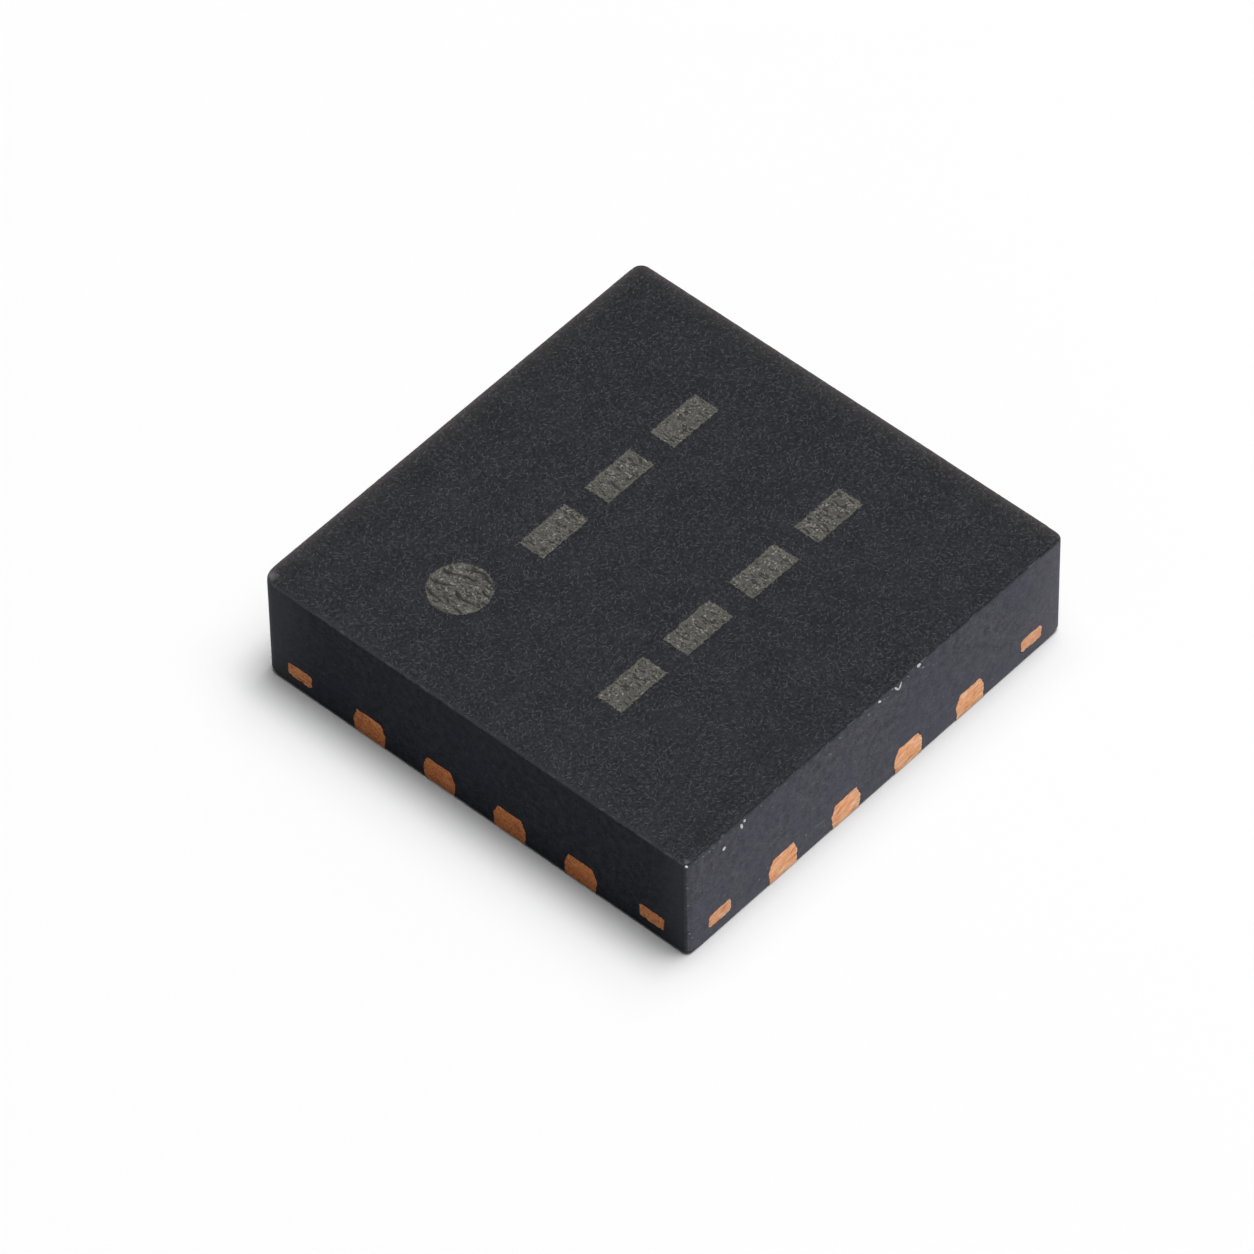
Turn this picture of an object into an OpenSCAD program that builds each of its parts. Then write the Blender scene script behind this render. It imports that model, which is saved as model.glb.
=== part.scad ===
// Integrated circuit in a flat square package with no protruding leads, sawn out of a moulded strip.
// The origin is the centre of the seating plane, with +Z out of the top face.
// Pin 1 is on the -X side, next to the +Y side, and the numbers run counter-clockwise seen from above.
// All sizes are in millimetres.

/* [Moulded body] */
// Side of the square body
body_w = 3; // [2.8:0.05:4]
// Height of the top face above the seating plane
body_h = 0.75; // [0.6:0.01:1]
// Height of the moulded underside above the seating plane
standoff = 0.012; // [0.005:0.001:0.03]
// Radius of the four upright edges
edge_r = 0.025; // [0.01:0.005:0.06]

/* [Pin 1 spot] */
// Diameter of the round spot cut into the top face by the marking laser
spot_d = 0.36; // [0.2:0.01:0.5]
// Depth of the spot
spot_depth = 0.006; // [0.003:0.001:0.03]
// Distance from the side that carries pin 1 to the centre of the spot
spot_from_pin_side = 0.625; // [0.4:0.005:1]
// Distance from the neighbouring side to the centre of the spot
spot_from_end_side = 0.847; // [0.4:0.001:1]

/* [Leads] */
// Leads on each of the four sides
pins_per_side = 4; // [2:1:4]
// Distance between neighbouring leads
pitch = 0.5; // [0.4:0.01:0.55]
// Thickness of the etched copper frame that the leads and the die pad are cut from
frame_t = 0.18; // [0.16:0.005:0.22]
// Height above the seating plane up to which the half-etched areas are hollowed out
etch_z = 0.09; // [0.06:0.005:0.12]
// Width of the soldered face of a lead
lead_foot_w = 0.205; // [0.16:0.005:0.215]
// Width of a lead at the ridge where the etch from above meets the etch from below
lead_ridge_w = 0.22; // [0.21:0.005:0.25]
// Height of that ridge above the seating plane
lead_ridge_z = 0.105; // [0.06:0.005:0.14]
// Width of a lead's upper face
lead_top_w = 0.16; // [0.12:0.005:0.2]
// Length of the soldered face of a lead, from the side of the body inwards
lead_foot_len = 0.36; // [0.3:0.01:0.45]
// Length of the half-etched inner tip that the moulding grips, past the soldered face
lead_tip_len = 0.08; // [0.04:0.01:0.12]
// Radius of the round inner end of a lead
lead_end_r = 0.13; // [0.13:0.005:0.18]

/* [Die pad] */
// Side of the pad's soldered face
pad_w = 1.65; // [1.3:0.05:1.75]
// Width of the half-etched rim round the soldered face
pad_rim = 0.06; // [0.03:0.01:0.08]
// Length that the cut corner next to pin 1 takes off each edge of the soldered face
pad_chamfer = 0.3; // [0.1:0.02:0.5]
// Width of each of the two arms that a tie bar forks into
tie_arm_w = 0.164; // [0.1:0.002:0.2]
// Distance from the body's side to the near edge of the arm that runs along it
tie_corner_gap = 0.169; // [0.12:0.001:0.25]
// Width of a tie bar between the pad and its fork
tie_neck_w = 0.14; // [0.1:0.01:0.18]

/* [Die] */
// Side of the square die
die_w = 1.2; // [0.9:0.05:1.3]
// Thickness of the die
die_t = 0.15; // [0.1:0.01:0.22]
// Thickness of the adhesive layer under the die
attach_t = 0.02; // [0.01:0.002:0.04]
// Width of adhesive squeezed out round the die
attach_rim = 0.03; // [0.01:0.005:0.05]

/* [Bond wires] */
// Diameter of a wire
wire_d = 0.025; // [0.018:0.001:0.035]
// Diameter of the ball pressed on to the die
ball_d = 0.064; // [0.05:0.002:0.08]
// Height of that ball's straight side
ball_h = 0.012; // [0.008:0.001:0.02]
// Height of the cone between the ball and the wire
ball_neck_h = 0.012; // [0.008:0.001:0.02]
// Distance from the edge of the die to the centre of a ball
bond_inset = 0.07; // [0.05:0.005:0.1]
// Distance between neighbouring balls along an edge of the die
bond_pitch = 0.25; // [0.15:0.01:0.27]
// Height of a loop's centre line above the die
loop_h = 0.11; // [0.09:0.005:0.18]
// Radius of the bend at the top of the riser
loop_bend_r = 0.045; // [0.03:0.005:0.06]
// Length of the level stretch after the bend
loop_level = 0.08; // [0.05:0.01:0.12]
// Diameter of the flattened stitch on the lead
stitch_d = 0.07; // [0.05:0.005:0.09]
// Thickness of the stitch
stitch_h = 0.008; // [0.006:0.001:0.012]
// Distance from the inner end of a lead to the centre of its stitch
stitch_inset = 0.1; // [0.08:0.01:0.15]

/* [Hidden] */
$fn = 48;
pin_count = 4 * pins_per_side;
half_w = body_w / 2;
lead_len = lead_foot_len + lead_tip_len;
attach_z = frame_t;
die_z = attach_z + attach_t;
die_top = die_z + die_t;
bond_x = -die_w / 2 + bond_inset;
stitch_x = -half_w + lead_len - stitch_inset;
fork_in = half_w - tie_corner_gap - tie_arm_w;
fork_mid = fork_in + tie_arm_w / 2;
// How far a cutting shape reaches past the face that it cuts
overcut = 0.5;

function two_digits(n) = n < 10 ? str("0", n) : str(n);
function pin_name(n) = str("pin_", two_digits(n));
function wire_name(n) = str("bond_wire_", two_digits(n));
// Place of pin n along its side, for leads or bond balls that are step apart
function row_place(n, step) = ((pins_per_side - 1) / 2 - (n - 1) % pins_per_side) * step;

// Turns the -X side to the side that carries pin n
module on_side(n) {
    rotate([0, 0, 90 * floor((n - 1) / pins_per_side)]) children();
}

// Plan of the body, with its upright edges rounded
module body_plan() {
    straight = body_w - 2 * edge_r;
    square([body_w, straight], center = true);
    square([straight, body_w], center = true);
    for (x = [-1, 1], y = [-1, 1]) {
        translate([x * straight / 2, y * straight / 2]) circle(r = edge_r);
    }
}

// Epoxy moulded round everything else and sawn off flush with the ends of the copper
module mould_body() {
    color("#2e2f33") difference() {
        translate([0, 0, standoff]) linear_extrude(body_h - standoff) body_plan();
        translate([-half_w + spot_from_pin_side, half_w - spot_from_end_side, body_h - spot_depth])
            cylinder(d = spot_d, h = spot_depth + overcut);
        die_pad();
        die_attach();
        die();
        for (n = [1 : pin_count]) {
            pin(n);
            bond_wire(n);
        }
    }
}

// Section of a lead across its length, wider at the ridge where the two etches meet
module lead_section() {
    polygon([
        [-lead_foot_w / 2, 0],
        [lead_foot_w / 2, 0],
        [lead_ridge_w / 2, lead_ridge_z],
        [lead_top_w / 2, frame_t],
        [-lead_top_w / 2, frame_t],
        [-lead_ridge_w / 2, lead_ridge_z]
    ]);
}

// Stretch of lead from the side of the body inwards, with a round inner end, above height z
module lead_bar(length, z) {
    straight = length - lead_end_r;
    intersection() {
        rotate([90, 0, 90]) linear_extrude(length) lead_section();
        translate([0, 0, z]) linear_extrude(frame_t - z) {
            translate([0, -lead_end_r]) square([straight, 2 * lead_end_r]);
            translate([straight, 0]) circle(r = lead_end_r);
        }
    }
}

// One lead: a full-thickness foot, and above it a longer half-etched tip
module pin(n) {
    color("#cf8a57") on_side(n) translate([-half_w, row_place(n, pitch), 0]) {
        lead_bar(lead_foot_len, 0);
        lead_bar(lead_len, etch_z);
    }
}

// Soldered face of the die pad, with one corner cut to show pin 1
module pad_plan() {
    edge = pad_w / 2;
    polygon([
        [-edge, -edge],
        [edge, -edge],
        [edge, edge],
        [-edge + pad_chamfer, edge],
        [-edge, edge - pad_chamfer]
    ]);
}

// Tie bar from the middle of the pad to one corner, forked so that an arm reaches each side
module tie_bar_plan() {
    arm_len = half_w - fork_in;
    rotate(45) translate([0, -tie_neck_w / 2]) square([fork_mid * sqrt(2), tie_neck_w]);
    translate([fork_in, fork_in]) {
        square([arm_len, tie_arm_w]);
        square([tie_arm_w, arm_len]);
    }
}

// Pad that carries the die, with its half-etched rim and its four tie bars
module die_pad() {
    color("#c98350") {
        linear_extrude(frame_t) pad_plan();
        translate([0, 0, etch_z]) linear_extrude(frame_t - etch_z) {
            square(pad_w + 2 * pad_rim, center = true);
            for (corner = [0 : 3]) {
                rotate(90 * corner) tie_bar_plan();
            }
        }
    }
}

// Layer of silver-filled adhesive
module die_attach() {
    color("#b8b9b6") translate([0, 0, attach_z]) linear_extrude(attach_t)
        square(die_w + 2 * attach_rim, center = true);
}

// Silicon chip
module die() {
    color("#6d7480") translate([0, 0, die_z]) linear_extrude(die_t) square(die_w, center = true);
}

// Wire in the XZ plane, from a ball at the origin to a stitch at the given span along +X
module wire_loop(span) {
    seat = die_top - frame_t;
    drop = loop_h + seat;
    reach = span - loop_bend_r - loop_level;
    fall_r = (reach * reach + drop * drop) / (2 * drop);
    fall_angle = atan2(reach, fall_r - drop);
    // The falling arc runs on into the lead by about a wire's width, and is cut off at its face
    past_angle = 180 / PI * wire_d / fall_r;
    cylinder(d = ball_d, h = ball_h);
    translate([0, 0, ball_h]) cylinder(d1 = ball_d, d2 = wire_d, h = ball_neck_h);
    cylinder(d = wire_d, h = loop_h - loop_bend_r);
    translate([loop_bend_r, 0, loop_h - loop_bend_r]) rotate([90, 0, 0]) rotate([0, 0, 90])
        rotate_extrude(angle = 90) translate([loop_bend_r, 0]) circle(d = wire_d);
    translate([loop_bend_r, 0, loop_h]) rotate([0, 90, 0]) cylinder(d = wire_d, h = loop_level);
    difference() {
        translate([loop_bend_r + loop_level, 0, loop_h - fall_r]) mirror([1, 0, 0]) rotate([90, 0, 0])
            rotate([0, 0, 90]) rotate_extrude(angle = fall_angle + past_angle)
            translate([fall_r, 0]) circle(d = wire_d);
        translate([span - overcut, -overcut, -seat - overcut]) cube([2 * overcut, 2 * overcut, overcut]);
    }
    translate([span, 0, -seat]) cylinder(d = stitch_d, h = stitch_h);
}

// Wire from the die to lead n
module bond_wire(n) {
    step = [stitch_x - bond_x, row_place(n, pitch) - row_place(n, bond_pitch)];
    color("#d8a63c") on_side(n) translate([bond_x, row_place(n, bond_pitch), die_top])
        rotate([0, 0, atan2(step.y, step.x)]) wire_loop(norm(step));
}

mould_body();
die_pad();
die_attach();
die();
for (n = [1 : pin_count]) {
    pin(n);
    bond_wire(n);
}
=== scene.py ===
"""The looks of a flat no-lead integrated circuit, sawn out of a moulded strip, on a white studio table."""

import math

import bpy
import numpy as np
from mathutils import Matrix, Vector, noise


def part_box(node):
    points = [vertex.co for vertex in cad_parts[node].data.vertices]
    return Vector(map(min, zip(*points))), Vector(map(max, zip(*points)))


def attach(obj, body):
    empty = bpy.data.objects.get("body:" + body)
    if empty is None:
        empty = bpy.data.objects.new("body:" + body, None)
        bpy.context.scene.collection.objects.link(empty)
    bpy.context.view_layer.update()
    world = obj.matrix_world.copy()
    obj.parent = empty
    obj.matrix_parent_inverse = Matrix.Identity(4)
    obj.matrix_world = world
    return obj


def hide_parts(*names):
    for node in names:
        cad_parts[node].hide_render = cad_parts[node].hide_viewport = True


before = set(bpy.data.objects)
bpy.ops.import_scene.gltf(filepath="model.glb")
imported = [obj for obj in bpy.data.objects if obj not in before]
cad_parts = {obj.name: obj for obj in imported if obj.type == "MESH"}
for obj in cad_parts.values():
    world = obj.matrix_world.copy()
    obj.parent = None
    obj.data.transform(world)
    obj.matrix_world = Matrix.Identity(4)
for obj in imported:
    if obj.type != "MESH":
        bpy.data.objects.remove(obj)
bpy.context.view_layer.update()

MM = 0.001
UM = 0.000001

# How close two places are the same, how close a point lies on a face of the block, how squarely a face looks along
# an axis, how close a cut welds, the largest bend that counts as flat, and the step between two seeds of the noise
NEAR = 0.2 * UM
ON_FACE = 0.1 * UM
SQUARELY = 0.9
WELD = 1e-9
FLAT_ANGLE = math.radians(1)
SEED_STEP = Vector((17.3, 5.1, 9.7))

# Sizes that come from the frame
body_low, body_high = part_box("mould_body")
pin_low, pin_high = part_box("pin_01")
HALF = body_high.x
TOP = body_high.z
UNDERSIDE = body_low.z
FRAME_T = pin_high.z
LEAD_LEN = pin_high.x - pin_low.x
RIDGE_W = pin_high.y - pin_low.y
PINS = 16
PINS_PER_SIDE = 4

# Etched copper: the section of a lead, its foot, and the tie bars of the die pad
ETCH_Z = 0.09 * MM
RIDGE_Z = 0.105 * MM
FOOT_W = 0.205 * MM
LEAD_TOP_W = 0.16 * MM
FOOT_LEN = 0.36 * MM
LEAD_END_BEVEL = 0.07 * MM
LEAD_END_STEPS = 5
PAD_W = 1.65 * MM
PAD_RIM = 0.06 * MM
PAD_CHAMFER = 0.3 * MM
TIE_ARM_W = 0.164 * MM
TIE_CORNER_GAP = 0.169 * MM
TIE_NECK_W = 0.14 * MM

# Sawn copper ends: cuts along each long edge of the outline, how far the saw drags the outline out, the lip, painted
# dark as shade, the rim, painted pale as a highlight, the hollow middle, how far the outline wanders, and the gap
# round the copper in the moulding
END_CUTS = 19
LONG_EDGE = 30 * UM
SMEAR = 6 * UM
LIP_W = 3 * UM
LIP_DROP = 2 * UM
RIM_W = 5 * UM
DISH_DROP = 1.5 * UM
END_WANDER = 5 * UM
END_WANDER_SIZE = 38 * UM
END_JAG = 5.5 * UM
END_JAG_SIZE = 12 * UM
FLAT_FOOT = 20 * UM
POCKET_GAP = 4 * UM
TIE_BEVEL = 15 * UM
TIE_STEPS = 3
LEAST_DRAG = 0.1
RING_SIDES = 6
PAD_SEED = 40

# Moulded block: cells of the top face's mesh, radius of the upright edges, rows of the walls in micrometres below the
# top, radii of the top and low edges and how they vary, the ragged wear of the edges, the top's grain, the saw's waves
TOP_CELLS = 240
CORNER_R = {(-1, -1): 0.040 * MM, (-1, 1): 0.072 * MM, (1, -1): 0.040 * MM, (1, 1): 0.058 * MM}
WALL_ROWS = [4, 9, 15, 22, 30, 40, 55, 90, 140, 200, 290, 390, 500, 610, 690, 704, 712, 719, 725, 730, 734]
FRONT_EDGE_R = 15 * UM
BACK_EDGE_R = 8 * UM
EDGE_R_CHANGE = 0.2
EDGE_R_SIZE = 300 * UM
EDGE_R_SEED = 11
BACK_CORNER_CHANGE = 1.0
FRONT_CORNER_CHANGE = -0.3
FRONT_BAND = 0.12 * MM
FRONT_FADE = 0.1 * MM
LOW_EDGE_R = 12 * UM
LOW_CORNER_R = 34 * UM
CORNER_REACH = 0.1 * MM
EDGE_WEAR = 2.0 * UM
EDGE_WEAR_REACH = 40 * UM
EDGE_WEAR_SIZE = 22 * UM
EDGE_WEAR_SEED = 5
BACK_SHARE, FRONT_SHARE = 0.3, 0.7
TOP_GRAIN = 1.2 * UM
TOP_GRAIN_SIZE = 24 * UM
TOP_GRAIN_SEED = 3
SAW_WAVE = 1.0 * UM
SAW_WAVE_SIZE = 30 * UM
SAW_WAVE_DRAW = 6
SAW_WAVE_SEED = 7

# Laser work on the top face: the round pin 1 spot, and two rows of plain bars
SPOT_X = -0.875 * MM
SPOT_Y = 0.653 * MM
SPOT_R = 0.18 * MM
SPOT_DEPTH = 6 * UM
BAR_COLUMNS = 4
BAR_PITCH = 0.52 * MM
BAR_FIRST_X = -0.77 * MM
BAR_W = 0.36 * MM
BAR_H = 0.17 * MM
ROW_MID_Y = 0.04 * MM
ROW_OFFSET = 0.51 * MM
BAR_DEPTH = 4 * UM
LASER_SLOPE = 10 * UM

# Filler grains laid bare where the saw chipped the edge at -Y: place along the edge in mm, micrometres below the
# top, half its length and half its height in micrometres, lean in degrees, and whether it is bright
EDGE_CHIPS = [
    (-1.489, 24, 8, 8, 0, True), (-1.376, 38, 6, 5, 30, False), (-1.325, 42, 11, 4, 40, False),
    (-1.296, 40, 7, 4, 40, False), (-1.244, 36, 7, 6, 20, False), (-1.213, 121, 13, 17, 0, True),
    (-1.074, 65, 10, 25, -12, True), (-1.052, 40, 10, 12, 0, True), (-0.921, 38, 6, 5, 0, False),
    (-0.832, 130, 5, 4, 0, False), (-0.737, 30, 6, 4, 30, False), (-0.301, 50, 14, 6, 40, False),
    (-0.376, 113, 16, 3, 55, False), (-0.217, 93, 5, 4, 0, False), (-0.074, 62, 9, 8, 30, False),
    (0.015, 38, 16, 8, 35, True), (0.052, 50, 6, 5, 35, False), (0.078, 58, 6, 4, 20, False),
    (0.115, 26, 8, 7, -30, False), (0.150, 52, 7, 28, -35, True), (0.178, 56, 7, 30, 24, True),
    (0.241, 34, 11, 4, 42, False), (0.328, 24, 16, 12, 10, True), (0.362, 66, 13, 7, 25, False),
    (0.443, 118, 8, 4, 0, False), (-0.447, 606, 52, 2.5, 10, False), (-0.567, 600, 7, 5, 0, False),
    (-0.938, 624, 7, 6, 0, False), (-1.487, 196, 4, 6, 0, False), (-1.485, 338, 5, 4, 30, False),
    (-1.480, 573, 6, 4, 20, False), (-1.466, 618, 7, 5, -20, False),
]
CRUMB_LUMPS = 0.5
CRUMB_LUMP_SIZE = 0.8
CRUMB_HALF_DEPTH = 7 * UM
CRUMB_SUNK = 1.5 * UM

# Angles past which a piece's faces are shaded apart, in degrees
BODY_CREASE = 35
CRUMB_CREASE = 50
COPPER_CREASE = 12

# Table and light: both lamps hang at one place, and each has a name, a width and the share of white that it gives the
# table
TABLE_W = 400 * MM
TABLE_TONES = ((0.945, 0.945, 0.945, 1), (0.955, 0.955, 0.955, 1))
TABLE_CLOUD = 5 * MM
ROOM_LIGHT = 0.057
LAMP_AZIMUTH = math.radians(-24)
LAMP_ELEVATION = math.radians(79.6)
LAMP_DISTANCE = 0.3
LAMPS = (("overhead softbox", 0.106, 0.522), ("ceiling scrim", 0.267, 0.635))

# Camera
VIEW_TARGET = Vector((-0.0190, 0.2494, 0)) * MM
VIEW_AZIMUTH = math.radians(-47.4108)
VIEW_ELEVATION = math.radians(49.3078)
VIEW_ROLL = math.radians(-1.0528)
VIEW_DISTANCE = 54.869 * MM
LENS = 295.031
SENSOR_W = 36
CLIP = (1 * MM, 10)


# Mesh helpers

def start_piece():
    """Leaves object mode with nothing selected, ready for a new primitive."""
    if bpy.context.object and bpy.context.object.mode != "OBJECT":
        bpy.ops.object.mode_set(mode="OBJECT")
    bpy.ops.object.select_all(action="DESELECT")


def only(obj):
    """Makes obj the one selected and active object."""
    start_piece()
    obj.select_set(True)
    bpy.context.view_layer.objects.active = obj


def block(name, low, high):
    """A box between two corners, with its place in its mesh."""
    low, high = Vector(low), Vector(high)
    start_piece()
    bpy.ops.mesh.primitive_cube_add(size=1, location=(low + high) / 2)
    obj = bpy.context.object
    obj.name = obj.data.name = name
    obj.scale = high - low
    bpy.ops.object.transform_apply(location=True, rotation=True, scale=True)
    return obj


def pick(obj, domain, test):
    """In edit mode, selects the vertices, edges or faces whose centre (and normal, for faces) pass the test."""
    bpy.ops.mesh.select_mode(type=domain)
    bpy.ops.mesh.select_all(action="DESELECT")
    bpy.ops.object.mode_set(mode="OBJECT")
    mesh = obj.data
    if domain == "VERT":
        for v in mesh.vertices:
            v.select = test(v.co)
    elif domain == "EDGE":
        for e in mesh.edges:
            a, b = (mesh.vertices[i].co for i in e.vertices)
            e.select = test(a, b)
    else:
        for f in mesh.polygons:
            f.select = test(f.center, f.normal)
    bpy.ops.object.mode_set(mode="EDIT")


def near(a, b):
    return abs(a - b) < NEAR


def vertex_array(mesh):
    co = np.zeros(len(mesh.vertices) * 3, np.float32)
    mesh.vertices.foreach_get("co", co)
    return co.reshape(-1, 3).astype(float)


def set_vertices(mesh, co):
    mesh.vertices.foreach_set("co", co.astype(np.float32).ravel())
    mesh.update()


def settle(obj):
    """In edit mode, sorts the upright edges and faces among their own places in the mesh, because an extrusion of many
    faces leaves those in any order, and every run has to go on alike."""
    bpy.ops.object.mode_set(mode="OBJECT")
    mesh = obj.data
    points = [v.co.copy() for v in mesh.vertices]

    def upright(ring):
        heights = [points[i].z for i in ring]
        return not near(min(heights), max(heights))

    def in_order(items):
        rings = [list(item.vertices) for item in items]
        places = [n for n, ring in enumerate(rings) if upright(ring)]
        ordered = sorted((rings[n] for n in places), key=lambda ring: sorted(ring, reverse=True))
        for n, ring in zip(places, ordered):
            first = ring.index(min(ring))
            rings[n] = ring[first:] + ring[:first]
        return rings

    edges, faces = in_order(mesh.edges), in_order(mesh.polygons)
    mesh.clear_geometry()
    mesh.from_pydata(points, edges, faces)
    bpy.ops.object.mode_set(mode="EDIT")


def wander(point, size, seed):
    """Smooth noise between about -1 and 1, with features of the given size."""
    return noise.noise(Vector(point) / size + SEED_STEP * seed)


def cut_out(obj, other):
    """Cuts other from obj, and removes other."""
    only(obj)
    cut = obj.modifiers.new("cut", "BOOLEAN")
    cut.operation = "DIFFERENCE"
    cut.solver = "EXACT"
    cut.object = other
    bpy.ops.object.modifier_apply(modifier=cut.name)
    bpy.data.objects.remove(other)


def twin(obj, name):
    """A copy with its own mesh."""
    copy = obj.copy()
    copy.data = obj.data.copy()
    copy.name = copy.data.name = name
    bpy.context.collection.objects.link(copy)
    return copy


def join(objs):
    """Makes one object of several, and keeps the first one's name."""
    start_piece()
    for o in objs:
        o.select_set(True)
    bpy.context.view_layer.objects.active = objs[0]
    bpy.ops.object.join()
    return objs[0]


def smooth(obj, crease):
    """Shades obj smooth, apart from edges that bend more than crease, in degrees."""
    only(obj)
    bpy.ops.object.shade_smooth_by_angle(angle=math.radians(crease))


def on_a_side(center, normal):
    """Whether a face lies in one of the four sawn sides."""
    along_x = near(abs(center.x), HALF) and abs(normal.x) > SQUARELY
    along_y = near(abs(center.y), HALF) and abs(normal.y) > SQUARELY
    return along_x or along_y


# Copper pieces

def etched_lead():
    """A lead with its sawn end at x = -HALF and its length along +X, centred on y = 0."""
    lead = block("etched_lead", (-HALF, -RIDGE_W / 2, 0), (-HALF + FOOT_LEN, RIDGE_W / 2, FRAME_T))
    bpy.ops.object.mode_set(mode="EDIT")
    for z in (ETCH_Z, RIDGE_Z):
        bpy.ops.mesh.select_all(action="SELECT")
        bpy.ops.mesh.bisect(plane_co=(0, 0, z), plane_no=(0, 0, 1), threshold=WELD)
    # The half-etched tip runs on past the foot
    foot_end = -HALF + FOOT_LEN
    pick(lead, "FACE", lambda c, n: near(c.x, foot_end) and c.z > ETCH_Z)
    bpy.ops.mesh.extrude_region_move(TRANSFORM_OT_translate={"value": (LEAD_LEN - FOOT_LEN, 0, 0)})
    # The flanks lean in above and below the ridge
    etch_w = FOOT_W + (RIDGE_W - FOOT_W) * ETCH_Z / RIDGE_Z
    for z, width in ((0, FOOT_W), (ETCH_Z, etch_w), (FRAME_T, LEAD_TOP_W)):
        pick(lead, "VERT", lambda co: near(co.z, z))
        bpy.ops.transform.resize(value=(1, width / RIDGE_W, 1), center_override=(0, 0, 0))
    # Round inner ends, below on the foot and above on the tip
    tip_end = -HALF + LEAD_LEN
    for x, low, high in ((foot_end, 0, ETCH_Z), (tip_end, ETCH_Z, FRAME_T)):
        def corner(a, b):
            upright = abs(a.z - b.z) > UM
            inside = min(a.z, b.z) > low - UM and max(a.z, b.z) < high + UM
            return upright and inside and near(a.x, x) and near(b.x, x)
        pick(lead, "EDGE", corner)
        bpy.ops.mesh.bevel(offset=LEAD_END_BEVEL, segments=LEAD_END_STEPS, affect="EDGES")
    # The line at the etch height is only needed at the inner end
    pick(lead, "EDGE", lambda a, b: near(a.z, ETCH_Z) and near(b.z, ETCH_Z) and min(a.x, b.x) < ON_FACE - HALF)
    bpy.ops.mesh.dissolve_edges(use_verts=True)
    bpy.ops.object.mode_set(mode="OBJECT")
    return lead


def in_pad(c):
    """Whether a point of the plan lies in the pad's soldered face."""
    edge = PAD_W / 2
    return max(abs(c.x), abs(c.y)) < edge and c.y - c.x < 2 * edge - PAD_CHAMFER


def in_frame_plan(c):
    """Whether a point of the plan lies in the half-etched layer: the pad's rim and the forked tie bars."""
    u, v = sorted((abs(c.x), abs(c.y)))
    fork = HALF - TIE_CORNER_GAP - TIE_ARM_W
    in_rim = v < PAD_W / 2 + PAD_RIM
    in_neck = v - u < TIE_NECK_W / math.sqrt(2) and v < fork + TIE_ARM_W
    in_arm = fork < u < fork + TIE_ARM_W
    return in_rim or in_neck or in_arm


def die_pad_plate():
    """The die pad with its half-etched rim, one cut corner and four forked tie bars, cut out of one plate."""
    start_piece()
    bpy.ops.mesh.primitive_plane_add(size=2 * HALF, location=(0, 0, ETCH_Z))
    pad = bpy.context.object
    pad.name = pad.data.name = "die_pad_plate"
    bpy.ops.object.transform_apply(location=True, rotation=True, scale=True)
    bpy.ops.object.mode_set(mode="EDIT")
    fork = HALF - TIE_CORNER_GAP - TIE_ARM_W
    cuts = []
    for d in (PAD_W / 2, PAD_W / 2 + PAD_RIM, fork, fork + TIE_ARM_W):
        cuts += [((d, 0, 0), (1, 0, 0)), ((-d, 0, 0), (1, 0, 0)), ((0, d, 0), (0, 1, 0)), ((0, -d, 0), (0, 1, 0))]
    for lean in (1, -1):
        for d in (TIE_NECK_W / math.sqrt(2), -TIE_NECK_W / math.sqrt(2)):
            cuts.append(((d, 0, 0), (1, lean, 0)))
    cuts.append(((-PAD_W / 2, PAD_W / 2 - PAD_CHAMFER, 0), (-1, 1, 0)))
    for point, across in cuts:
        bpy.ops.mesh.select_all(action="SELECT")
        bpy.ops.mesh.bisect(plane_co=point, plane_no=Vector(across).normalized(), threshold=WELD)
    pick(pad, "FACE", lambda c, n: not in_frame_plan(c))
    bpy.ops.mesh.delete(type="FACE")
    bpy.ops.mesh.select_all(action="SELECT")
    bpy.ops.mesh.extrude_region_move(TRANSFORM_OT_translate={"value": (0, 0, FRAME_T - ETCH_Z)})
    bpy.ops.mesh.select_all(action="SELECT")
    bpy.ops.mesh.normals_make_consistent(inside=False)
    pick(pad, "FACE", lambda c, n: near(c.z, ETCH_Z) and in_pad(c))
    bpy.ops.mesh.extrude_region_move(TRANSFORM_OT_translate={"value": (0, 0, -ETCH_Z)})
    settle(pad)
    bpy.ops.mesh.select_all(action="SELECT")
    bpy.ops.mesh.dissolve_limited(angle_limit=FLAT_ANGLE)
    # The etch leaves the corners of the tie bars' ends round
    pick(pad, "VERT", on_outline)
    bpy.ops.mesh.bevel(offset=TIE_BEVEL, segments=TIE_STEPS, affect="VERTICES")
    bpy.ops.object.mode_set(mode="OBJECT")
    return pad


def on_outline(co):
    """Whether a point lies in the plane of one of the four sawn sides."""
    return near(max(abs(co.x), abs(co.y)), HALF)


def smear_outline(mesh):
    """Drags the open outline of every sawn end outwards in the plane of its side, but not below the seating plane."""
    outward = {}
    for f in mesh.polygons:
        for i in f.vertices:
            if on_outline(mesh.vertices[i].co):
                outward[i] = outward.get(i, Vector()) + f.normal
    for i, drag in outward.items():
        v = mesh.vertices[i]
        if abs(v.co.y) > abs(v.co.x):
            drag.y = 0
        else:
            drag.x = 0
        if v.co.z < UM:
            drag.z = 0
        if drag.length > LEAST_DRAG:
            v.co += drag.normalized() * SMEAR
    mesh.update()


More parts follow.
